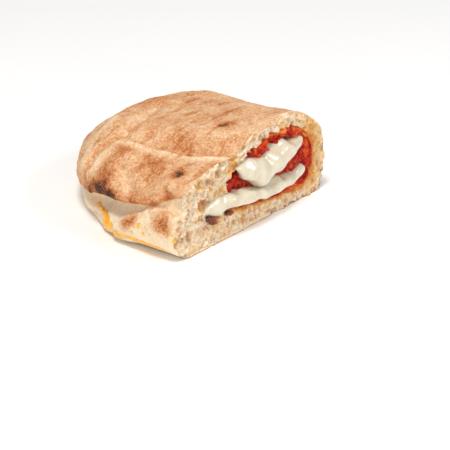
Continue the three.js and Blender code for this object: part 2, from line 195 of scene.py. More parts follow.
# Outlines of the two slabs of cheese at the cut, as x and z
UPPER_TOP = [(-16, 41), (-12.5, 42.8), (-7, 43.4), (-1, 42.2), (5, 41.3), (11, 41.3), (15, 42.6),
             (21, 44.8), (26, 46), (30, 45.3), (33.5, 43), (38, 43), (42, 42.2), (46.5, 40.4)]
UPPER_BOTTOM = [(-16, 40), (-14.6, 39), (-11.7, 35.5), (-8.7, 31.3), (-4.8, 29.1), (-1, 26.8), (3, 24.4),
                (6, 24.6), (9, 26.4), (13, 27.4), (20, 27.2), (24, 27.5), (28, 30), (32, 32.4),
                (38, 33.6), (42, 34.6), (46.5, 39)]
LOWER_TOP = [(-42.5, 23), (-40, 25.2), (-35.6, 27.4), (-30, 28.5), (-20, 27.7), (-14, 27.9), (-6.6, 26.8),
             (1, 24.8), (8, 23.9), (12.6, 24.6), (20, 23.4), (28, 22.3), (34, 21.4), (39, 22.2),
             (43, 23.8), (47, 22.8), (49.6, 20)]
LOWER_BOTTOM = [(-42.5, 22), (-36, 18.2), (-30.6, 16.5), (-26, 18.3), (-22, 19.4), (-16, 19.2), (-8, 18.5),
                (-0.6, 18), (6, 15.4), (13, 14.3), (19, 14.9), (24, 15.8), (30.7, 14), (37, 12.7),
                (43, 13.9), (47.6, 16.2), (49.6, 18.4)]
MELT_SWELL = 0.6
MELT_LUMPS = 1.5
MELT_DENTS = 0.25

# Bits fallen at the low end of the filling, as place, radius and tone from browned, 0, to pale, 1
BITS = [
    ((-38.5, -58.2, 17.2), 1.8, 0.15),
    ((-36, -58.2, 15.6), 1.5, 0.35),
    ((-40.6, -57.9, 18.2), 1.2, 0.05),
    ((-30.6, -58.1, 14.8), 1.6, 1.0),
    ((-33.4, -57.9, 15.2), 1.3, 0.7),
    ((-23.6, -58.1, 16.8), 1.5, 0.1),
    ((-20.8, -58.1, 15.4), 1.3, 0.5),
]

# Browning, as place, reach and strength; the spot in the tuck is painted shade as well
BROWNED = [
    ((-47.5, -42.5, 43.3), 5.0, 0.42),
    ((-47.5, -42.5, 43.3), 2.0, 0.22),
    ((1.8, -35.2, 55.5), 6.5, 0.26),
    ((1.8, -35.2, 55.5), 2.4, 0.34),
    ((16, 0.1, 49.5), 5.5, 0.2),
    ((14, -16, 53), 5, 0.14),
    ((-40.6, 5.4, 42.4), 6.0, 0.22),
    ((-44.1, -20.3, 42.1), 7.5, 0.2),
    ((-50.2, -28.9, 40.4), 9.0, 0.16),
    ((-56, 3, 31), 9.0, 0.2),
    ((-62.3, -7, 24.6), 3.0, 0.2),
    ((-59, 4, 28), 7, 0.16),
    ((-54, 14, 22), 6, 0.24),
    # Darkens the bottom of the tuck's hollow: browning there, and painted shade
    ((-61, -46.4, 35), 2.6, 0.22),
    ((-19.7, -23.8, 46.9), 13, 0.12),
    ((-63, -27, 29), 7, 0.14),
    ((-69, -20.5, 15), 5.4, 0.62),
    ((-66, -25, 19), 4.4, 0.48),
    ((-69, -46.8, 23.5), 7.2, 0.6),
    ((-65, -36, 16), 3, 0.12),
    ((-48, 20, 24), 6, 0.18),
    ((46, -40, 47), 9, 0.14),
    ((30, -20, 52), 8, 0.12),
    ((64, -20, 30), 14, 0.16),
    ((30, 40, 40), 12, 0.14),
    ((-10, 52, 30), 10, 0.18),
]
PALE = [
    ((-56, -11, 35.5), 6.5, 0.1),
    ((-60, -17, 33), 5, 0.08),
    ((-56, -56, 40), 6, 0.1),
]

# Colours as eight-bit screen values, and ramps of them from a level of 0 to 1
BAKED = [
    (0.0, (246, 226, 196)),
    (0.16, (241, 214, 176)),
    (0.32, (230, 191, 151)),
    (0.46, (217, 166, 122)),
    (0.6, (201, 134, 84)),
    (0.74, (178, 103, 55)),
    (0.87, (118, 72, 48)),
    (1.0, (66, 42, 32)),
]  # the crust as it bakes, from raw to charred
TOMATO = [
    (0.0, (104, 16, 4)),
    (0.35, (156, 24, 6)),
    (0.6, (188, 44, 12)),
    (0.85, (214, 94, 36)),
    (1.0, (232, 144, 74)),
]  # from dark pulp to oily orange
CRUMB_PALE = (255, 238, 213)
CRUMB_CREAM = (247, 217, 177)
# Painted shade in the crumb's bubbles: in the foam's hollows, and deeper in the torn bubbles
PAINTED_FOAM_SHADE = (226, 184, 132)
PAINTED_BUBBLE_SHADE = (208, 154, 98)
OIL_STAIN = (238, 188, 108)
SAUCE_STAIN = (228, 138, 62)
DEEP_STAIN = (184, 66, 28)
CHEESE_WHITE = (225, 215, 193)
CHEESE_CREAM = (211, 199, 172)
LEAKED_ORANGE = (250, 166, 14)
LEAKED_YELLOW = (246, 190, 56)
BIT_BROWN = (112, 58, 28)
BIT_RED = (172, 70, 34)
BIT_PALE = (226, 184, 116)
FLOOR_WHITE = (255, 255, 255)
FLOOR_SHADE = (253, 253, 253)


# Choosing and shaping meshes

def alone(piece):
    bpy.ops.object.select_all(action="DESELECT")
    piece.select_set(True)
    bpy.context.view_layer.objects.active = piece


def modify(piece, kind, **settings):
    modifier = piece.modifiers.new(kind, kind)
    for name, value in settings.items():
        setattr(modifier, name, value)
    alone(piece)
    bpy.ops.object.modifier_apply(modifier=modifier.name)


def merged_copy(node, name):
    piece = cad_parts[node].copy()
    piece.data = piece.data.copy()
    piece.name = piece.data.name = name
    piece.parent = None
    for key in [key for key in piece.keys() if key.startswith("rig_")]:
        del piece[key]
    piece.data.materials.clear()
    bpy.context.collection.objects.link(piece)
    alone(piece)
    bpy.ops.mesh.customdata_custom_splitnormals_clear()
    bpy.ops.object.mode_set(mode="EDIT")
    bpy.ops.mesh.select_all(action="SELECT")
    bpy.ops.mesh.remove_doubles(threshold=1e-6)
    bpy.ops.object.mode_set(mode="OBJECT")
    return piece


def points_of(piece):
    flat = np.empty(len(piece.data.vertices) * 3, np.float32)
    piece.data.vertices.foreach_get("co", flat)
    return flat.reshape(-1, 3).astype(float) / MM


def place_points(piece, points):
    piece.data.vertices.foreach_set("co", (points * MM).astype(np.float32).ravel())
    piece.data.update()


def normals_of(piece):
    flat = np.empty(len(piece.data.vertices) * 3, np.float32)
    piece.data.vertices.foreach_get("normal", flat)
    return flat.reshape(-1, 3).astype(float)


def push_out(piece, push):
    """Move each point out along its normal."""
    place_points(piece, points_of(piece) + normals_of(piece) * push[:, None])


def relax(piece, times, group=""):
    modify(piece, "SMOOTH", factor=0.5, iterations=times, vertex_group=group)


def even_mesh(piece, step):
    modify(piece, "REMESH", mode="VOXEL", voxel_size=step * MM)


def thin_out(piece, hidden, kept):
    """Fewer faces where nothing shows."""
    group = weigh(piece, "hidden", hidden)
    modify(piece, "DECIMATE", ratio=kept, vertex_group=group, vertex_group_factor=10)


def out_of_sight(piece):
    """1 on the points of the filling too far behind the cut to show."""
    near, far = UNSEEN
    return smoothstep(points_of(piece)[:, 1], CUT_Y + near, CUT_Y + far)


def select_faces(piece, chosen):
    """Select the faces whose corners are all among the chosen points."""
    alone(piece)
    bpy.ops.object.mode_set(mode="EDIT")
    bpy.ops.mesh.select_all(action="DESELECT")
    bpy.ops.object.mode_set(mode="OBJECT")
    faces = [all(chosen[corner] for corner in face.vertices) for face in piece.data.polygons]
    piece.data.polygons.foreach_set("select", faces)


def smoothstep(value, low, high):
    share = np.clip((value - low) / (high - low), 0, 1)
    return share * share * (3 - 2 * share)


def weigh(piece, name, weights):
    """A vertex group with its weights rounded to sixteenths."""
    group = piece.vertex_groups.new(name=name)
    levels = np.rint(weights * 16).astype(int)
    for level in range(1, 17):
        chosen = np.nonzero(levels == level)[0].tolist()
        if chosen:
            group.add(chosen, level / 16, "REPLACE")
    return name


def remember(piece, name, values):
    """A float attribute on the points, for the material."""
    attribute = piece.data.attributes.new(name, "FLOAT", "POINT")
    attribute.data.foreach_set("value", np.asarray(values, np.float32))


def recall(piece, name):
    values = np.empty(len(piece.data.vertices), np.float32)
    piece.data.attributes[name].data.foreach_get("value", values)
    return values.astype(float)


def rough(points, size, seed):
    """Smooth noise from -1 to 1 whose lumps are about the given size."""
    shift = Vector((seed * 13.7, seed * 5.1, seed * 9.3))
    return np.array([noise.noise(Vector(p) / size + shift) for p in points])


def warp(points, size, reach, seed):
    """The points pushed about by smooth noise, so that what is measured from them has an uneven outline."""
    return points + reach * np.stack([rough(points, size, seed + k) for k in range(3)], axis=1)


def away(points, place):
    return np.linalg.norm(points - np.array(place, float), axis=1)


def from_line(points, line):
    """Distance from each point to a chain of straight stretches, and the same above 0 only on its left."""
    best = np.full(len(points), 1e9)
    signed = np.zeros(len(points))
    for start, end in zip(line, line[1:]):
        a, b = np.array(start, float), np.array(end, float)
        step = b - a
        share = np.clip((points - a) @ step / (step @ step), 0, 1)
        gap = points - a - share[:, None] * step
        distance = np.linalg.norm(gap, axis=1)
        side = np.sign(step[0] * gap[:, 1] - step[1] * gap[:, 0])
        closer = distance < best
        best[closer] = distance[closer]
        signed[closer] = (side * distance)[closer]
    return best, signed


def bump(distance, width):
    return np.exp(-((distance / width) ** 2))


def height_along(points, pairs):
    """The height that a list of y and z gives at each point."""
    return np.interp(points[:, 1], [y for y, _z in pairs], [z for _y, z in pairs])


# The outer skin of the dough, without the cut and the pocket

def outer_skin(dough):
    """A search tree of the faces that were baked as the outside."""
    mesh = dough.data
    points = points_of(dough)
    faces = [tuple(face.vertices) for face in mesh.polygons]
    behind = [face for face in faces if min(points[i][1] for i in face) > CUT_Y + BEHIND_CUT]
    touching = {}
    for number, face in enumerate(behind):
        for corner in face:
            touching.setdefault(corner, []).append(number)
    top = max(touching, key=lambda corner: points[corner][2])
    waiting, seen = list(touching[top]), set(touching[top])
    while waiting:
        for corner in behind[waiting.pop()]:
            fresh = [number for number in touching[corner] if number not in seen]
            seen.update(fresh)
            waiting.extend(fresh)
    return BVHTree.FromPolygons([tuple(p) for p in points], [behind[number] for number in sorted(seen)])


def tree_of(node):
    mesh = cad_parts[node].data
    corners = [tuple(vertex.co / MM) for vertex in mesh.vertices]
    return BVHTree.FromPolygons(corners, [tuple(face.vertices) for face in mesh.polygons])


def distance_to(tree, points):
    return np.array([tree.find_nearest(Vector(p))[3] for p in points])


def below_skin(tree, points):
    """How deep each point lies under the outer skin, taken at the skin's edge for points in front of it."""
    pulled = points.copy()
    pulled[:, 1] = np.maximum(pulled[:, 1], CUT_Y + BEHIND_CUT + 0.4)
    depths = []
    for point in pulled:
        near, facing, _face, distance = tree.find_nearest(Vector(point))
        depths.append(distance if facing.dot(Vector(point) - near) < 0 else 0.0)
    return np.array(depths)


# Round bubbles and lumps scattered over a face that looks along -Y

def scatter(draw, candidates, kind, taken=()):
    """Discs as x, z and radius, at drawn candidates and not crowding each other."""
    count, smallest, largest, crowding = kind
    discs = list(taken)
    for _ in range(count):
        x, _y, z = candidates[draw.randrange(len(candidates))]
        radius = smallest + (largest - smallest) * draw.random() ** 2
        if all(math.hypot(x - u, z - w) > crowding * (radius + size) for u, w, size in discs):
            discs.append((x, z, radius))
    return discs


def cells(points, discs):
    """For each point how far it is inside its own disc's cell, 0 at a wall, and which disc that is."""
    spots = np.array(discs)
    inside = np.empty(len(points))
    own = np.empty(len(points), int)
    for start in range(0, len(points), 4000):
        part = slice(start, start + 4000)
        along = points[part, 0, None] - spots[:, 0]
        up = points[part, 2, None] - spots[:, 1]
        gap = np.hypot(along, up) - spots[:, 2]
        order = np.argpartition(gap, 1, axis=1)[:, :2]
        two = np.take_along_axis(gap, order, axis=1)
        own[part] = np.where(two[:, 0] < two[:, 1], order[:, 0], order[:, 1])
        inside[part] = np.abs(two[:, 0] - two[:, 1])
    return inside, own


def domed(inside, radius):
    """The height of a round-topped lump, or the depth of a bowl, in each cell."""
    return radius * np.sqrt(1 - (1 - np.clip(inside / (ROUNDING * radius), 0, 1)) ** 2)


# The dough: crust and crumb in one piece

def bake_dough():
    dough = merged_copy("dough", "baked_dough")
    skin = outer_skin(dough)
    even_mesh(dough, DOUGH_STEP)
    crusty = smoothstep(points_of(dough)[:, 1], CUT_Y + 2.5, CUT_Y + 7)
    relax(dough, 30, weigh(dough, "crusty", crusty))
    relax(dough, 2)
    thin_out(dough, hidden_dough(dough, skin), DOUGH_KEPT)
    remember_depth(dough, skin)
    shape_rim(dough)
    fold_crust(dough)
    open_crumb(dough)
    brown(dough)
    stain(dough)
    return dough


def hidden_dough(dough, skin):
    """1 in the pocket and on the underside."""
    points = points_of(dough)
    pocket = smoothstep(below_skin(skin, points), 3, 5) * smoothstep(points[:, 1], CUT_Y + 10, CUT_Y + 16)
    return np.maximum(pocket, 1 - smoothstep(points[:, 2], 0.2, 1))


def remember_depth(dough, skin):
    """How far under the crust each point of the cut lies; on the outside, and along the foot, 0 or less."""
    points = points_of(dough)
    cut_into = smoothstep(-normals_of(dough)[:, 1], 0.2, 0.6)
    base_crust = (BASE_CRUST + 0.9 * rough(points, 9, 56)) * (1 - smoothstep(points[:, 2], 0.8, 3.4))
    deep = below_skin(skin, points) - base_crust
    remember(dough, "depth", np.where(deep < 3, deep * cut_into, deep))


def crust_share(dough, points):
    """1 on the outside of the crust, 0 on the cut, in the pocket and where the half lies on its base."""
    outside = 1 - smoothstep(recall(dough, "depth"), 1, 2.5)
    return outside * smoothstep(points[:, 1], CUT_Y - 0.5, CUT_Y + 4) * smoothstep(points[:, 2], 0.4, 3.5)


def rim_side(points):
    """1 on the rim's long side, 0 where it turns round the tip."""
    before_tip = 1 - smoothstep(points[:, 1], 14, 26)
    return smoothstep(points[:, 0], RIM_TURNS_X + 4, RIM_TURNS_X - 4) * before_tip


def shape_rim(dough):
    """The top crust's lip over the bottom crust, the lobe that swells out by the cut, and blisters."""
    points = points_of(dough)
    uneven = warp(points, 7, 0.7, 60)
    under_lip = height_along(uneven, LIP) - uneven[:, 2] + 0.5 * rough(points, 2.4, 61)
    under_lobe = height_along(uneven, LOBE) - uneven[:, 2]
    by_cut = 1 - smoothstep(points[:, 1], LOBE_END_Y - 2.5, LOBE_END_Y + 1.5)
    lobe = smoothstep(under_lobe, -0.7, 1.5) * by_cut
    recess_end = 5 + 8 * smoothstep(points[:, 1], -14, -4)
    above_end = 1 - smoothstep(under_lip, recess_end, recess_end + 8)
    recess = smoothstep(under_lip, -0.4, 1.6) * above_end * (1 - lobe)
    push = LIP_SWELL * bump(under_lip + 2.2, 2.4) - RECESS_DEPTH * recess
    push += LOBE_SWELL * lobe * (1 - smoothstep(under_lobe, 10, 24))
    push += RECESS_FOLDS * recess * rough(points * (0, 1, 0.25), 2.6, 63)
    push -= TUCK_DEPTH * bump(from_line(points, TUCK)[0], 2.4)
    for x, y, z, radius in BLISTERS:
        push += BLISTER_RISE * smoothstep(away(uneven, (x, y, z)), radius, radius * 0.3)
    push_out(dough, push * rim_side(points) * crust_share(dough, points))
    relax(dough, 5, "crusty")


def fold_crust(dough):
    """The creases, rolls, dimple and wrinkles of the top crust."""
    points = points_of(dough)
    uneven = warp(points, 8, 0.8, 70)
    beside_crease = from_line(uneven, CREASE + CREASE_END[1:])[1]
    beside_slit = from_line(uneven, SLIT)[1]
    fading = 1 - smoothstep(points[:, 0], -10, 26)
    push = CREASE_ROLL * bump(beside_crease - 3.4, 2.6) - CREASE_DEPTH * bump(beside_crease, 1.2)
    push -= 0.8 * bump(beside_crease + 3.6, 3.2)
    slit = SLIT_ROLL * bump(beside_slit - 3, 2.4) - SLIT_DEPTH * bump(beside_slit, 1.2)
    push += slit * (0.25 + 0.75 * fading)
    push -= SLIT_PIT * bump(from_line(points, SLIT_DEEPEST)[0], 1.5)
    push += LEFT_ROLL_RISE * bump(from_line(uneven, LEFT_ROLL)[0], 4.5)
    push -= DIMPLE_DEPTH * bump(from_line(uneven, DIMPLE)[0], 3.4)
    push -= WRINKLE_DEPTH * smoothstep(wrinkles(points), 0.2, 0.6)
    push += 0.6 * rough(points, 13, 1) + 0.28 * rough(points, 5, 2) + 0.12 * rough(points, 2.2, 3)
    push_out(dough, push * crust_share(dough, points))


def wrinkles(points):
    """Noise drawn out along X, as the crust wrinkles."""
    return rough(points * (0.24, 1, 0.8), 4.8, 33)


def refine_cut(dough):
    """Finer faces on the cut."""
    in_front = points_of(dough)[:, 1] < CUT_Y + BEHIND_CUT
    facing = normals_of(dough)[:, 1] < 0.3
    select_faces(dough, in_front & facing & (recall(dough, "depth") > 0.4))
    bpy.ops.object.mode_set(mode="EDIT")
    bpy.ops.mesh.subdivide(number_cuts=1, smoothness=0)
    bpy.ops.object.mode_set(mode="OBJECT")
    modify(dough, "TRIANGULATE")


def open_crumb(dough):
    """A foam of bubbles with thin torn walls, and the larger bubbles among it."""
    refine_cut(dough)
    points, out = points_of(dough), normals_of(dough)
    crumb = smoothstep(recall(dough, "depth"), 0.3, 1.3)
    crumb *= 1 - smoothstep(points[:, 1], CUT_Y + 3.6, CUT_Y + 5.4)
    draw = random.Random(BUBBLE_SEED)
    drawn_out = points.copy()
    drawn_out[:, 2] = np.where(points[:, 2] < 12, points[:, 2] * 0.6, points[:, 2] - 4.8)
    candidates = drawn_out[(crumb > 0.9) & (out[:, 1] < -0.4)]
    bubbles = scatter(draw, candidates, LARGE_BUBBLES)
    bubbles = scatter(draw, candidates, SMALL_BUBBLES, bubbles)
    inside, own = cells(warp(drawn_out, 2.6, 0.5, 80), bubbles)
    bowl = domed(inside, np.array(bubbles)[own, 2])
    bowl *= smoothstep(rough(points, 3, 90), -0.7, 0.3) * 0.6 + 0.4
    pit, share, _soaked = torn_pits(points)
    bowl = bowl * (1 - share) * BOWL_DEPTH + pit
    torn = 0.35 * rough(points, 2.6, 91) + 0.14 * rough(points, 0.9, 92) - 0.4 * bump(inside, 0.3)
    points[:, 1] += crumb * (bowl + torn * (1 - 0.7 * share))
    place_points(dough, points)
    remember(dough, "hole", bowl * crumb)


def torn_pits(points):
    """The larger bubbles: their depth at each point, whether the point is in one, and how soaked it is."""
    uneven = warp(points, 3, 0.9, 85)
    depth, share, soaked = np.zeros((3, len(points)))
    for x, z, half_width, half_height, deepest, wet in PITS:
        apart = np.hypot((uneven[:, 0] - x) / half_width, (uneven[:, 2] - z) / half_height)
        depth = np.maximum(depth, deepest * np.sqrt(1 - np.minimum(apart, 1) ** 2))
        share = np.maximum(share, 1 - smoothstep(apart, 0.85, 1.1))
        soaked = np.maximum(soaked, wet * (1 - smoothstep(apart, 0.8, 1.3)))
    return depth, share, soaked


def brown(dough):
    """How far each spot of the crust is baked, from 0, pale, to 1, charred, with painted shade along the
    crease, the slit and its pit, and a painted highlight on the ridges beside them and on the left roll's
    crest.
    """
    points = points_of(dough)
    uneven = warp(points, 6, 1.6, 40)
    level = 0.44 + 0.1 * rough(points, 26, 51) + 0.09 * rough(points, 8, 52)
    level += 0.12 * smoothstep(wrinkles(points), 0.15, 0.55)
    beside_crease = from_line(uneven, CREASE + CREASE_END[1:])[1]
    beside_slit = from_line(uneven, SLIT)[1]
    # Painted shade along the crease, and on the next line along the slit, with a painted highlight on the
    # ridge beside each
    level += 0.14 * bump(beside_crease + 0.5, 1.2) - 0.2 * bump(beside_crease - 4.6, 4)
    level += 0.1 * bump(beside_slit, 1.3) - 0.08 * bump(beside_slit - 3.5, 2.6)
    # Painted shade in the slit's deepest pit
    level += 0.3 * bump(from_line(uneven, SLIT_DEEPEST)[0], 1.6)
    # Painted highlight along the crest of the left roll
    level -= 0.16 * bump(from_line(uneven, LEFT_ROLL)[0], 3.4)
    under_lip = height_along(uneven, LIP) - uneven[:, 2]
    rimward = 1 - smoothstep(points[:, 0], 25, 52)
    level += 0.12 * bump(under_lip + 1.6, 3.4) * rimward
    level += 0.16 * bump(under_lip + 0.6, 1.5) * bump(points[:, 1] + 2, 24) * rimward
    level += 0.25 * bump(from_line(uneven, CHAR)[0], 2.0)
    level -= 0.4 * smoothstep(under_lip, -0.2, 1.4) * rimward
    for place, reach, strength in BROWNED:
        level += strength * bump(away(uneven, place), reach)
    for place, reach, strength in PALE:
        level -= strength * bump(away(uneven, place), reach)
    base = 1 - smoothstep(points[:, 2], 0.1, 1.4)
    level += (0.62 + 0.16 * rough(points, 7, 55) - level) * base
    remember(dough, "bake", np.clip(level, 0, 1))


def stain(dough):
    """Where sauce and oil soaked the crumb: by the filling, at the fold and in the hollows left of it."""
    points = points_of(dough)
    uneven = warp(warp(points, 5, 2.2, 44), 2, 0.8, 47)
    wet = distance_to(tree_of("tomato_sauce"), uneven)
    level = 0.7 * bump(wet, 1.6) + 0.3 * smoothstep(points[:, 0], 42, 54) * bump(wet, 6)
    level += 0.95 * bump(from_line(uneven * (1, 0, 1), UNDER_SLAB)[0], 3.4)
    level += 0.26 * smoothstep(points[:, 0], 46, 58)
    for x, z, reach, strength in SOAKED:
        level += strength * bump(np.hypot(uneven[:, 0] - x, uneven[:, 2] - z), reach)
    level += torn_pits(points)[2]
    remember(dough, "stain", np.clip(level, 0, 1))


# Cheese and oil that leaked out at the rim

def leak_cheese(dough):
    """A film over the dough, thick in its middle and sunk into the dough at its edge."""
    film = dough.copy()
    film.data = dough.data.copy()
    film.name = film.data.name = "leaked_cheese"
    bpy.context.collection.objects.link(film)
    points = points_of(film)
    reach = film_reach(points)
    select_faces(film, (reach > -1.4) & (points[:, 2] > 0.3))
    bpy.ops.object.mode_set(mode="EDIT")
    bpy.ops.mesh.select_all(action="INVERT")
    bpy.ops.mesh.delete(type="FACE")
    bpy.ops.object.mode_set(mode="OBJECT")
    reach = film_reach(points_of(film))
    rise = FILM_RISE * np.sqrt(np.clip(reach, 0, FILM_EDGE) / FILM_EDGE)
    push_out(film, np.where(reach > 0, rise, 0.5 * reach))
    modify(film, "SUBSURF", levels=1, render_levels=1)
    modify(film, "SOLIDIFY", thickness=FILM_SHELL * MM, offset=-1)
    return film


def film_reach(points):
    """How far each point lies inside the film's outline."""
    uneven = warp(points, 3, 0.6, 95)
    reach = np.full(len(points), -9.0)
    for (start, near), (end, far) in zip(LEAK, LEAK[1:]):
        for share in np.linspace(0, 1, 6):
            place = np.array(start) * (1 - share) + np.array(end) * share
            reach = np.maximum(reach, near + (far - near) * share - away(uneven, place))
    for place, radius in DROPS:
        reach = np.maximum(reach, radius - away(points, place))
    return reach


# The filling

def crush_tomato():
    sauce = merged_copy("tomato_sauce", "crushed_tomato")
    even_mesh(sauce, SAUCE_STEP)
    relax(sauce, 5)
    points, out = points_of(sauce), normals_of(sauce)
    front = 1 - smoothstep(points[:, 1], CUT_Y + 7, CUT_Y + 10)
    draw = random.Random(SAUCE_SEED)
    candidates = points[out[:, 1] < -0.5]
    named = [chunk[:3] for chunk in CHUNKS]
    lumps = scatter(draw, candidates, LARGE_LUMPS, named)
    lumps = scatter(draw, candidates, SMALL_LUMPS, lumps)
    inside, own = cells(warp(warp(points, 4, 2.2, 7), 1.6, 0.7, 12), lumps)
    tones = np.array([chunk[3] for chunk in CHUNKS] + [draw.random() for _ in lumps[len(CHUNKS):]])
    push = LUMP_RISE * domed(inside, np.array(lumps)[own, 2])
    push += 1.3 * rough(points, 4.4, 8) + 0.6 * rough(points, 1.7, 9)
    for x, z, reach in HOLLOWS:
        push -= HOLLOW_DEPTH * bump(np.hypot(points[:, 0] - x, points[:, 2] - z), reach)
    facing_cut = np.clip(-out[:, 1], 0, 1)
    points += out * (SAUCE_SPREAD * front * (1 - facing_cut))[:, None]
    points[:, 1] -= facing_cut * front * push
    place_points(sauce, points)
    remember(sauce, "tone", tones[own])
    # Painted shade in the crevices between lumps, for the material
    remember(sauce, "crevice", bump(inside, 0.7))
    relax(sauce, 1)
    thin_out(sauce, out_of_sight(sauce), SAUCE_KEPT)
    remember(sauce, "from_dough", distance_to(tree_of("dough"), points_of(sauce)))
    return sauce


def melt_mozzarella(node, name, top, bottom, seed):
    slab = merged_copy(node, name)
    even_mesh(slab, CHEESE_STEP)
    draw_outline(slab, np.array(top), np.array(bottom))
    relax(slab, 9)
    points = points_of(slab)
    lumps = MELT_LUMPS * rough(points, 8, seed) + MELT_DENTS * rough(points, 4, seed + 1)
    push_out(slab, MELT_SWELL + lumps)
    relax(slab, 5)
    thin_out(slab, out_of_sight(slab), CHEESE_KEPT)
    return slab


def draw_outline(slab, top, bottom):
    """Bring the slab's section at the cut to the outline that shows there."""
    points = points_of(slab)
    front = points[points[:, 1] < CUT_Y + 8]
    low_x, high_x = front[:, 0].min(), front[:, 0].max()
    stations = np.linspace(low_x, high_x, 40)
    near = [front[np.abs(front[:, 0] - x) < 2, 2] for x in stations]
    low = np.interp(points[:, 0], stations, [heights.min() for heights in near])
    high = np.interp(points[:, 0], stations, [heights.max() for heights in near])
    across = np.interp(points[:, 0], (low_x, high_x), (top[0, 0], top[-1, 0]))
    up = np.clip((points[:, 2] - low) / (high - low), 0, 1)
    ceiling, floor = np.interp(across, *top.T), np.interp(across, *bottom.T)
    drawn = np.stack((across, points[:, 1], floor + up * (ceiling - floor)), axis=1)
    share = 1 - smoothstep(points[:, 1], CUT_Y + 7, CUT_Y + 20)
    place_points(slab, points + (drawn - points) * share[:, None])


# Bits at the low end of the filling

def scatter_bits():
    made = []
    for number, (place, radius, tone) in enumerate(BITS):
        bpy.ops.mesh.primitive_ico_sphere_add(subdivisions=4, radius=radius * MM)
        bit = bpy.context.object
        points, out = points_of(bit), normals_of(bit)
        points *= (1.25, 0.9, 0.8)
        points += out * (0.9 * radius * rough(points, radius * 0.7, 100 + number))[:, None]
        place_points(bit, points + np.array(place))
        remember(bit, "tone", np.full(len(points), tone))
        made.append(bit)
    alone(made[0])
    for bit in made:
        bit.select_set(True)
    bpy.ops.object.join()
    bits = bpy.context.object
    bits.name = bits.data.name = "browned_bits"
    return bits


# Materials

def paint(colour):
    """A linear colour from eight-bit screen values."""
    channels = [value / 255 for value in colour]
    return tuple(c / 12.92 if c <= 0.04045 else ((c + 0.055) / 1.055) ** 2.4 for c in channels) + (1,)


class Wire:
    """An output socket on which arithmetic adds Math nodes."""

    def __init__(self, shader, socket):
        self.shader, self.socket = shader, socket

    def math(self, operation, other):
        return self.shader.node("ShaderNodeMath", {"operation": operation}, {0: self, 1: other})

    def __add__(self, other):
        return self.math("ADD", other)

    def __sub__(self, other):
        return self.math("SUBTRACT", other)

    def __mul__(self, other):
        return self.math("MULTIPLY", other)

    def __rsub__(self, other):
        return self * -1 + other

    __radd__ = __add__
    __rmul__ = __mul__

    def ease(self, low, high):
        """0 below low, 1 above high, smooth between. A low above high turns it round."""
        settings = {"interpolation_type": "SMOOTHSTEP"}
        values = {"Value": self, "From Min": low, "From Max": high}
        return self.shader.node("ShaderNodeMapRange", settings, values)


class Finish:
    """A material and the few kinds of node it is made of."""

    def __init__(self, name, **constants):
        self.material = bpy.data.materials.new(name)
        self.material.use_nodes = True
        self.tree = self.material.node_tree
        self.surface = self.tree.nodes["Principled BSDF"]
        for socket, value in constants.items():
            self.surface.inputs[socket.replace("_", " ")].default_value = value
        self.place = self.node("ShaderNodeTexCoord", {}, {}, "Object")

    def node(self, kind, settings, values, output=0):
        made = self.tree.nodes.new(kind)
        for name, value in settings.items():
            if name == "stops":
                self.set_stops(made.color_ramp, value)
            else:
                setattr(made, name, value)
        for name, value in values.items():
            if isinstance(value, Wire):
                self.tree.links.new(value.socket, made.inputs[name])
            else:
                made.inputs[name].default_value = value
        return Wire(self, made.outputs[output])

    def set_stops(self, ramp, stops):
        while len(ramp.elements) < len(stops):
            ramp.elements.new(1)
        for element, (position, colour) in zip(ramp.elements, stops):
            element.position, element.color = position, paint(colour)

    def cloud(self, size_mm, detail=2, roughness=0.5):
        """Noise from 0 to 1 with lumps of about a size in millimetres."""
        values = {"Vector": self.place, "Scale": 1 / (size_mm * MM), "Detail": detail, "Roughness": roughness}
        return self.node("ShaderNodeTexNoise", {}, values, "Fac")

    def foam(self):
        """Small bubbles, drawn out upwards: 0 in the middle of each, up to 1 at its walls."""
        place = self.node("ShaderNodeMapping", {}, {"Vector": self.place, "Scale": (1, 1, 0.7)})
        values = {"Vector": place, "Scale": 1 / (FOAM_SIZE * MM)}
        return self.node("ShaderNodeTexVoronoi", {}, values, "Distance").ease(0.1, 0.75)

    def attribute(self, name):
        return self.node("ShaderNodeAttribute", {"attribute_name": name}, {}, "Fac")

    def ramp(self, level, stops):
        return self.node("ShaderNodeValToRGB", {"stops": stops}, {"Fac": level}, "Color")

    def mix(self, share, under, over):
        """One colour over another, each a wire or eight-bit screen values."""
        under, over = (side if isinstance(side, Wire) else paint(side) for side in (under, over))
        return self.node("ShaderNodeMix", {"data_type": "RGBA"}, {0: share, 6: under, 7: over}, 2)

    def bumped(self, height, depth_mm):
        return self.node("ShaderNodeBump", {}, {"Height": height, "Distance": depth_mm * MM, "Strength": 1.0})

    def feed(self, **wires):
        for socket, wire in wires.items():
            self.tree.links.new(wire.socket, self.surface.inputs[socket.replace("_", " ")])
        return self.material


def baked_finish():
    finish = Finish("baked_dough", Roughness=0.85, Specular_IOR_Level=0.25, Subsurface_Weight=0.15,
                    Subsurface_Scale=1.0, Subsurface_Radius=(0.004, 0.002, 0.001))
    blotch = finish.cloud(6, 4, 0.6)
    speckle = finish.cloud(1.5, 3, 0.6)
    grain = finish.cloud(0.7, 3, 0.7)
    level = finish.attribute("bake") + (blotch - 0.5) * 0.4 + (speckle - 0.5) * 0.66 + (grain - 0.5) * 0.62
    crust = finish.ramp(level, BAKED)
    crumb = crumb_colour(finish)
    depth = finish.attribute("depth") + (speckle - 0.5) * 0.6
    under_crust = finish.ramp(level + 0.08, BAKED)
    shell = finish.mix(depth.ease(0.35, 0.6), crust, finish.mix(depth.ease(0.5, 1.3), under_crust, crumb))
    relief = speckle * 0.5 + grain * 0.5 + finish.foam() * depth.ease(0.8, 1.6)
    return finish.feed(Base_Color=shell, Normal=finish.bumped(relief, 0.36))


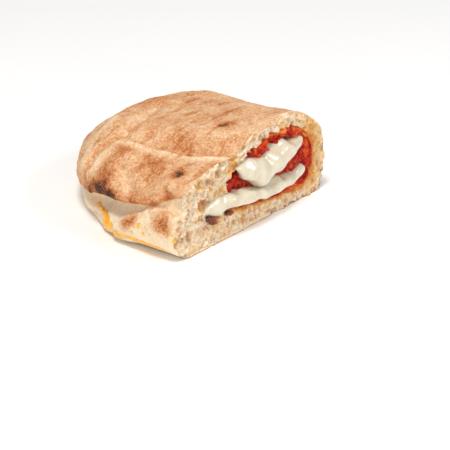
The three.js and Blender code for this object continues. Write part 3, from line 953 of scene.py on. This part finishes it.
def crumb_colour(finish):
    """The pale inside, with painted shade in its bubbles, yellow to orange where sauce and oil soaked in."""
    hole = finish.attribute("hole")
    wet = finish.attribute("stain") + (finish.cloud(4, 3) - 0.5) * 0.5
    colour = finish.mix(finish.cloud(7, 3).ease(0.35, 0.65), CRUMB_PALE, CRUMB_CREAM)
    # Painted shade in the middle of each small bubble
    colour = finish.mix(finish.foam().ease(0.7, 0.1) * 0.6, colour, PAINTED_FOAM_SHADE)
    # Painted shade, stronger the deeper a bubble is
    colour = finish.mix(hole.ease(0.45, 2.1) * 0.75, colour, PAINTED_BUBBLE_SHADE)
    colour = finish.mix(wet.ease(0.12, 0.5) * 0.8, colour, OIL_STAIN)
    colour = finish.mix(wet.ease(0.42, 0.9) * 0.8, colour, SAUCE_STAIN)
    return finish.mix(wet.ease(0.9, 1.25) * 0.7, colour, DEEP_STAIN)


def tomato_finish():
    finish = Finish("tomato_sauce", Coat_Roughness=0.08, Specular_IOR_Level=0.05)
    pulp = finish.cloud(3.4, 3, 0.6)
    fleck = finish.cloud(1.3, 2, 0.6)
    tone = finish.attribute("tone") * 0.55 + pulp * 0.5 + (fleck - 0.5) * 0.5
    # The sauce's colour darkened by painted shade in the crevices between lumps
    crevice = finish.attribute("crevice") * 0.18
    oily = finish.attribute("from_dough").ease(2.4, 0.4) * 0.25
    colour = finish.ramp(tone - crevice + oily, TOMATO)
    shine = 0.4 + fleck * 0.3
    wet = fleck.ease(0.48, 0.58) * 0.6
    normal = finish.bumped(pulp * 0.6 + fleck * 0.4, 0.5)
    return finish.feed(Base_Color=colour, Roughness=shine, Coat_Weight=wet, Normal=normal)


def mozzarella_finish():
    finish = Finish("mozzarella", Roughness=0.22, Coat_Weight=1.0, Coat_Roughness=0.07,
                    Subsurface_Weight=0.45, Subsurface_Scale=1.0, Subsurface_Radius=(0.005, 0.0035, 0.002))
    milky = finish.cloud(8, 3, 0.5)
    colour = finish.mix(milky.ease(0.35, 0.68), CHEESE_WHITE, CHEESE_CREAM)
    return finish.feed(Base_Color=colour, Normal=finish.bumped(finish.cloud(4, 2), 0.16))


def leaked_finish():
    finish = Finish("leaked_cheese", Roughness=0.25, Coat_Weight=0.5, Coat_Roughness=0.08)
    patchy = finish.cloud(3, 3, 0.6)
    colour = finish.mix(patchy.ease(0.35, 0.65), LEAKED_ORANGE, LEAKED_YELLOW)
    return finish.feed(Base_Color=colour, Normal=finish.bumped(patchy, 0.3))


def bits_finish():
    finish = Finish("browned_bits", Roughness=0.5)
    tone = finish.attribute("tone") + (finish.cloud(1.4, 2) - 0.5) * 0.5
    colour = finish.mix(tone.ease(0.2, 0.45), BIT_BROWN, BIT_RED)
    colour = finish.mix(tone.ease(0.6, 0.8), colour, BIT_PALE)
    return finish.feed(Base_Color=colour, Normal=finish.bumped(finish.cloud(0.6, 3), 0.3))


# Making it

dough = bake_dough()
cheese = mozzarella_finish()
parts = [
    (dough, ["dough"], "baked_dough", baked_finish()),
    (crush_tomato(), ["tomato_sauce"], "tomato_sauce", tomato_finish()),
    (melt_mozzarella("mozzarella_upper", "melted_upper", UPPER_TOP, UPPER_BOTTOM, 21),
     ["mozzarella_upper"], "mozzarella", cheese),
    (melt_mozzarella("mozzarella_lower", "melted_lower", LOWER_TOP, LOWER_BOTTOM, 24),
     ["mozzarella_lower"], "mozzarella", cheese),
    (leak_cheese(dough), [], "mozzarella", leaked_finish()),
    (scatter_bits(), [], "tomato_sauce", bits_finish()),
]
for piece, nodes, slot, material in parts:
    piece.data.materials.append(material)
    piece.data.polygons.foreach_set("use_smooth", [True] * len(piece.data.polygons))
    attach(piece, "root")
    if nodes:
        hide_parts(*nodes)


# The room

def add_floor():
    bpy.ops.mesh.primitive_plane_add(size=6, location=(0, 0, 0))
    floor = bpy.context.object
    floor.name = "floor"
    finish = Finish("floor", Roughness=0.9)
    shade = finish.cloud(400, 1)
    floor.data.materials.append(finish.feed(Base_Color=finish.mix(shade, FLOOR_SHADE, FLOOR_WHITE)))


def add_light(name, place, size, power, tint):
    bpy.ops.object.light_add(type="AREA", location=place)
    light = bpy.context.object
    light.name = name
    light.data.size, light.data.energy, light.data.color = size, power, tint
    light.rotation_euler = (OBJECT_MIDDLE - Vector(place)).to_track_quat("-Z", "Y").to_euler()


def add_camera():
    turn, rise = math.radians(CAMERA_AZIMUTH), math.radians(CAMERA_ELEVATION)
    back = Vector((math.sin(turn) * math.cos(rise), -math.cos(turn) * math.cos(rise), math.sin(rise)))
    straight = (-back).to_track_quat("-Z", "Y")
    right, up = straight @ Vector((1, 0, 0)), straight @ Vector((0, 1, 0))
    aim = OBJECT_MIDDLE + right * AIM[0] * PIXEL - up * AIM[1] * PIXEL
    place = OBJECT_MIDDLE + back * CAMERA_DISTANCE
    facing = (aim - place).to_track_quat("-Z", "Y") @ Quaternion((0, 0, 1), math.radians(CAMERA_ROLL))
    bpy.ops.object.camera_add(location=place, rotation=facing.to_euler())
    camera = bpy.context.object
    camera.data.sensor_width, camera.data.lens = 36, CAMERA_LENS
    camera.data.clip_start, camera.data.clip_end = 0.05, 20
    bpy.context.scene.camera = camera


add_floor()
for light in LIGHTS:
    add_light(*light)
add_camera()
world = bpy.data.worlds.new("studio")
bpy.context.scene.world = world
world.use_nodes = True
world.node_tree.nodes["Background"].inputs["Color"].default_value = (1, 1, 1, 1)
world.node_tree.nodes["Background"].inputs["Strength"].default_value = WORLD_STRENGTH
bpy.context.scene.view_settings.view_transform = "Standard"
